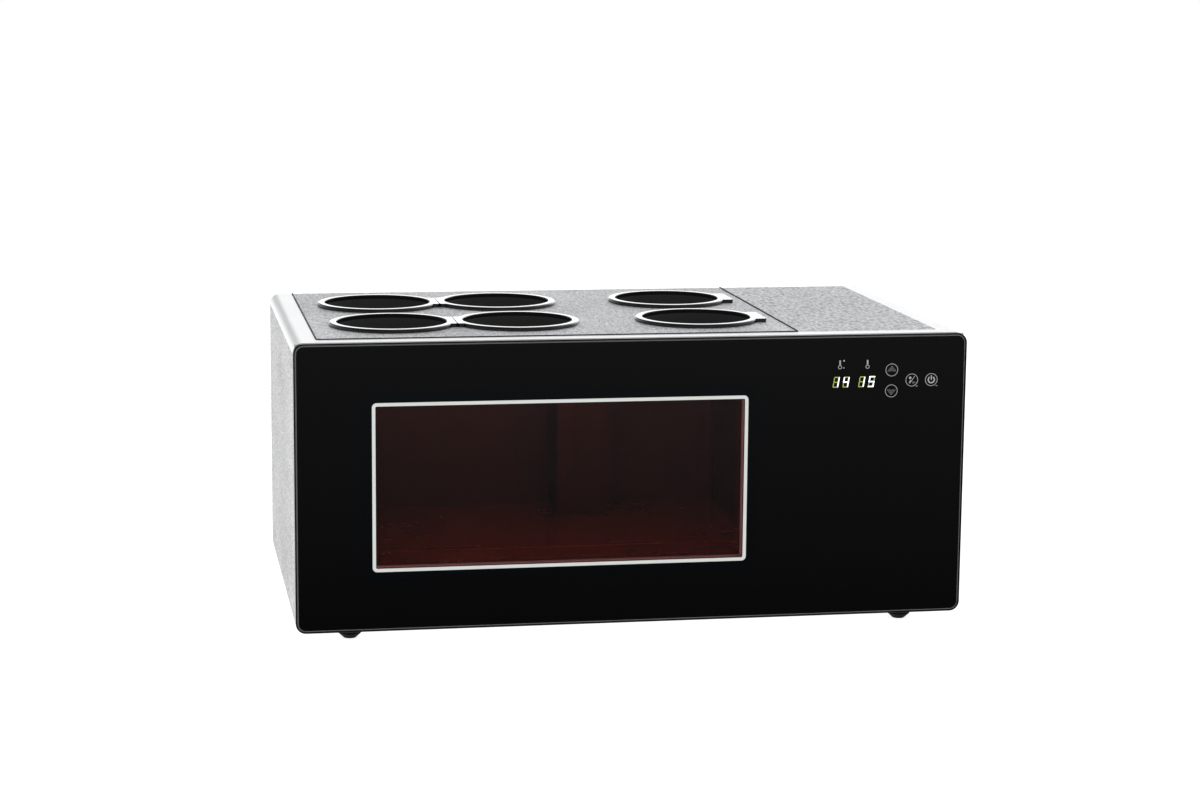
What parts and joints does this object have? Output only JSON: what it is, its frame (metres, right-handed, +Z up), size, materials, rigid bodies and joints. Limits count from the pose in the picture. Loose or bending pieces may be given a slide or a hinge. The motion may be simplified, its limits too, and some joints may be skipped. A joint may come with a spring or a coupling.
{
  "type": "open-bottle wine cooler",
  "caption": "Counter-top wine cooler that keeps opened bottles upright in wells of its lid, with a lit window, a touch panel and a thermoelectric cooling unit.",
  "frame": {"origin": "centre of the footprint, at the bottom of the feet", "axes": "+X to the machine space's side, the right one seen from the front, +Y from the front glass to the rear panel, +Z up"},
  "size_m": [0.67, 0.383, 0.3005],
  "materials": {
    "wrap_paint": "fine hammered silver-grey paint",
    "lid_paint": "fine textured silver-grey paint",
    "top_paint": "textured silver-grey paint",
    "frame_white": "smooth satin",
    "rear_metal": "satin black",
    "zinc": "bare galvanised",
    "bezel_black": "gloss",
    "front_glass": "black backed glass",
    "trim_metal": "satin",
    "window_glass": "tinted clear",
    "spacer_metal": "perforated",
    "liner_black": "fine grained",
    "tray_black": "fine grained",
    "lamp_board": "satin",
    "diffuser": "translucent",
    "sink_metal": "extruded",
    "module_ceramic": "matt white",
    "fan_black": "satin",
    "probe_white": "satin",
    "supply_metal": "brushed",
    "board_green": "satin",
    "inlet_black": "satin",
    "display_lit": "lit digits",
    "key_film": "satin",
    "foot_rubber": "matt",
    "screw_steel": "plated",
    "lid_lining": "fine grained",
    "foam": "rigid foam",
    "gasket_rubber": "matt",
    "collar_black": "high gloss",
    "flap_black": "satin",
    "pin_steel": "ground",
    "spring_steel": "drawn"
  },
  "bodies": {
    "cabinet": {"outer_wrap": "wrap_paint", "top_plate": "top_paint", "top_frame": "frame_white", "rail_end_caps": "frame_white", "rear_panel": "rear_metal", "bulkhead": "zinc", "front_bezel": "bezel_black", "front_glass": "front_glass", "window_trim": "trim_metal", "outer_pane": "window_glass", "inner_pane": "window_glass", "window_spacer": "spacer_metal", "cavity_liner": "liner_black", "air_duct": "liner_black", "floor_tray_front": "tray_black", "floor_tray_rear": "tray_black", "light_board": "lamp_board", "light_diffuser": "diffuser", "cold_sink": "sink_metal", "cold_block": "sink_metal", "hot_sink": "sink_metal", "cooling_module": "module_ceramic", "circulation_fan_frame": "fan_black", "exhaust_fan_frame": "fan_black", "air_probe": "probe_white", "power_supply": "supply_metal", "control_board": "board_green", "display_board": "board_green", "mains_inlet": "inlet_black", "display_left": "display_lit", "display_right": "display_lit", "touch_pads": "key_film", "feet": "foot_rubber", "foot_screws": "screw_steel", "rear_screws": "screw_steel", "cabinet_foam": "foam"},
    "lid": {"lid_plate": "lid_paint", "lid_foam": "foam", "lid_liner": "lid_lining", "lid_gasket": "gasket_rubber", "lid_edge_seal": "gasket_rubber", "hinge_pins": "pin_steel", "flap_springs": "spring_steel", "collar_front_left": "collar_black", "collar_front_middle": "collar_black", "collar_front_right": "collar_black", "collar_back_left": "collar_black", "collar_back_middle": "collar_black", "collar_back_right": "collar_black"},
    "flap_front_left": {"flap_front_left": "flap_black"},
    "flap_front_middle": {"flap_front_middle": "flap_black"},
    "flap_front_right": {"flap_front_right": "flap_black"},
    "flap_back_left": {"flap_back_left": "flap_black"},
    "flap_back_middle": {"flap_back_middle": "flap_black"},
    "flap_back_right": {"flap_back_right": "flap_black"},
    "circulation_rotor": {"circulation_fan_rotor": "fan_black"},
    "exhaust_rotor": {"exhaust_fan_rotor": "fan_black"}
  },
  "joints": [
    {"name": "lid_lift", "type": "slide", "parent": "cabinet", "child": "lid", "axis": [0, 0, 1], "range_m": [0, 0.06]},
    {"name": "flap_front_left_hinge", "type": "hinge", "parent": "lid", "child": "flap_front_left", "pos_m": [-0.1677, -0.0675, 0.27745], "axis": [0, -1, 0], "range_deg": [0, 88], "stiffness_Nm_per_rad": 0.03, "springref_deg": -68.75},
    {"name": "flap_front_middle_hinge", "type": "hinge", "parent": "lid", "child": "flap_front_middle", "pos_m": [-0.1608, -0.0675, 0.27745], "axis": [0, 1, 0], "range_deg": [0, 88], "stiffness_Nm_per_rad": 0.03, "springref_deg": -68.75},
    {"name": "flap_front_right_hinge", "type": "hinge", "parent": "lid", "child": "flap_front_right", "pos_m": [0.1453, -0.0675, 0.27745], "axis": [0, -1, 0], "range_deg": [0, 88], "stiffness_Nm_per_rad": 0.03, "springref_deg": -68.75},
    {"name": "flap_back_left_hinge", "type": "hinge", "parent": "lid", "child": "flap_back_left", "pos_m": [-0.1677, 0.0845, 0.27745], "axis": [0, -1, 0], "range_deg": [0, 88], "stiffness_Nm_per_rad": 0.03, "springref_deg": -68.75},
    {"name": "flap_back_middle_hinge", "type": "hinge", "parent": "lid", "child": "flap_back_middle", "pos_m": [-0.1608, 0.0845, 0.27745], "axis": [0, 1, 0], "range_deg": [0, 88], "stiffness_Nm_per_rad": 0.03, "springref_deg": -68.75},
    {"name": "flap_back_right_hinge", "type": "hinge", "parent": "lid", "child": "flap_back_right", "pos_m": [0.1453, 0.0845, 0.27745], "axis": [0, -1, 0], "range_deg": [0, 88], "stiffness_Nm_per_rad": 0.03, "springref_deg": -68.75},
    {"name": "circulation_fan_spin", "type": "hinge", "parent": "cabinet", "child": "circulation_rotor", "pos_m": [-0.006, 0.1075, 0.215], "axis": [0, 1, 0], "continuous": true},
    {"name": "exhaust_fan_spin", "type": "hinge", "parent": "cabinet", "child": "exhaust_rotor", "pos_m": [-0.006, 0.183, 0.215], "axis": [0, 1, 0], "continuous": true}
  ]
}
